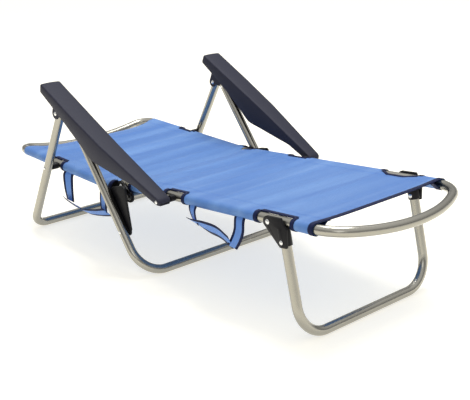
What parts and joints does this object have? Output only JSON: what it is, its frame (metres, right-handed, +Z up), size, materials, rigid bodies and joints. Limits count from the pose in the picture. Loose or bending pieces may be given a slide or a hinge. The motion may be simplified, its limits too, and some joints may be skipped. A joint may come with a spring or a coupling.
{
  "type": "beach chair",
  "caption": "Folding beach chair lying open as a bed: bent aluminium tube frame with a mesh sling, a reclining backrest, U-shaped legs, two armrests and carrying straps.",
  "frame": {"origin": "on the floor under the middle of the chair, in its flat bed position", "axes": "+X along the chair from the seat front to the top of the backrest, +Z up, -Y on the sitter's left"},
  "size_m": [1.4162, 0.66, 0.4903],
  "materials": {
    "tube": "satin anodised in a warm pale champagne",
    "black_plastic": "moulded black nylon, matt",
    "armrest_plastic": "moulded dark slate polypropylene with a fine grain",
    "fittings": "bright zinc plated",
    "sling_fabric": "woven coated polyester mesh, mid blue, with navy binding",
    "strap_webbing": "flat webbing, mid blue, with navy bound edges"
  },
  "bodies": {
    "seat": {"seat_frame_tube": "tube", "hinge_cross_tube": "tube", "cross_tube_plugs": "black_plastic", "cross_tube_screws": "fittings", "left_hinge_plate": "black_plastic", "right_hinge_plate": "black_plastic", "hinge_rivets": "fittings", "hinge_washers": "fittings", "seat_rail_screws": "fittings", "seat_sling": "sling_fabric", "seat_strap": "strap_webbing", "front_leg_spacers": "black_plastic", "front_leg_pivots": "fittings", "rear_leg_pivots": "fittings"},
    "front_leg": {"front_leg_tube": "tube"},
    "rear_leg": {"rear_leg_tube": "tube", "rear_leg_caps": "black_plastic", "rear_leg_pins": "fittings", "left_rear_bracket": "black_plastic", "right_rear_bracket": "black_plastic", "rear_bracket_rivets": "fittings"},
    "backrest": {"backrest_frame_tube": "tube", "backrest_tube_plugs": "black_plastic", "backrest_sling": "sling_fabric", "backrest_strap": "strap_webbing", "armrest_spacers": "black_plastic", "support_pivot_rivets": "fittings"},
    "support_leg": {"support_leg_tube": "tube", "left_support_bracket": "black_plastic", "right_support_bracket": "black_plastic", "support_bracket_rivets": "fittings"},
    "left_armrest": {"left_armrest": "armrest_plastic", "left_position_rack": "black_plastic", "left_armrest_rivets": "fittings"},
    "right_armrest": {"right_armrest": "armrest_plastic", "right_position_rack": "black_plastic", "right_armrest_rivets": "fittings"}
  },
  "joints": [
    {"name": "backrest_recline", "type": "hinge", "parent": "seat", "child": "backrest", "pos_m": [-0.14047, 0, 0.228], "axis": [0, -1, 0], "range_deg": [0, 70]},
    {"name": "front_leg_rock", "type": "hinge", "parent": "seat", "child": "front_leg", "pos_m": [-0.44987, 0, 0.224], "axis": [0, -1, 0], "range_deg": [0, 56.7]},
    {"name": "left_armrest_swing", "type": "hinge", "parent": "front_leg", "child": "left_armrest", "pos_m": [-0.35367, 0, 0.40688], "axis": [0, -1, 0], "range_deg": [-31.4, 0]},
    {"name": "right_armrest_swing", "type": "hinge", "parent": "front_leg", "child": "right_armrest", "pos_m": [-0.35367, 0, 0.40688], "axis": [0, -1, 0], "range_deg": [-31.4, 0]},
    {"name": "rear_leg_fold", "type": "hinge", "parent": "seat", "child": "rear_leg", "pos_m": [-0.15147, 0, 0.205], "axis": [0, -1, 0], "range_deg": [0, 18]},
    {"name": "support_leg_fold", "type": "hinge", "parent": "backrest", "child": "support_leg", "pos_m": [0.44893, 0, 0.2815], "axis": [0, 1, 0], "range_deg": [0, 98]}
  ],
  "couplings": [
    {"joint": "front_leg_rock", "follows": "backrest_recline", "ratio": 0.807},
    {"joint": "left_armrest_swing", "follows": "backrest_recline", "ratio": -0.4457},
    {"joint": "right_armrest_swing", "follows": "backrest_recline", "ratio": -0.4457}
  ]
}
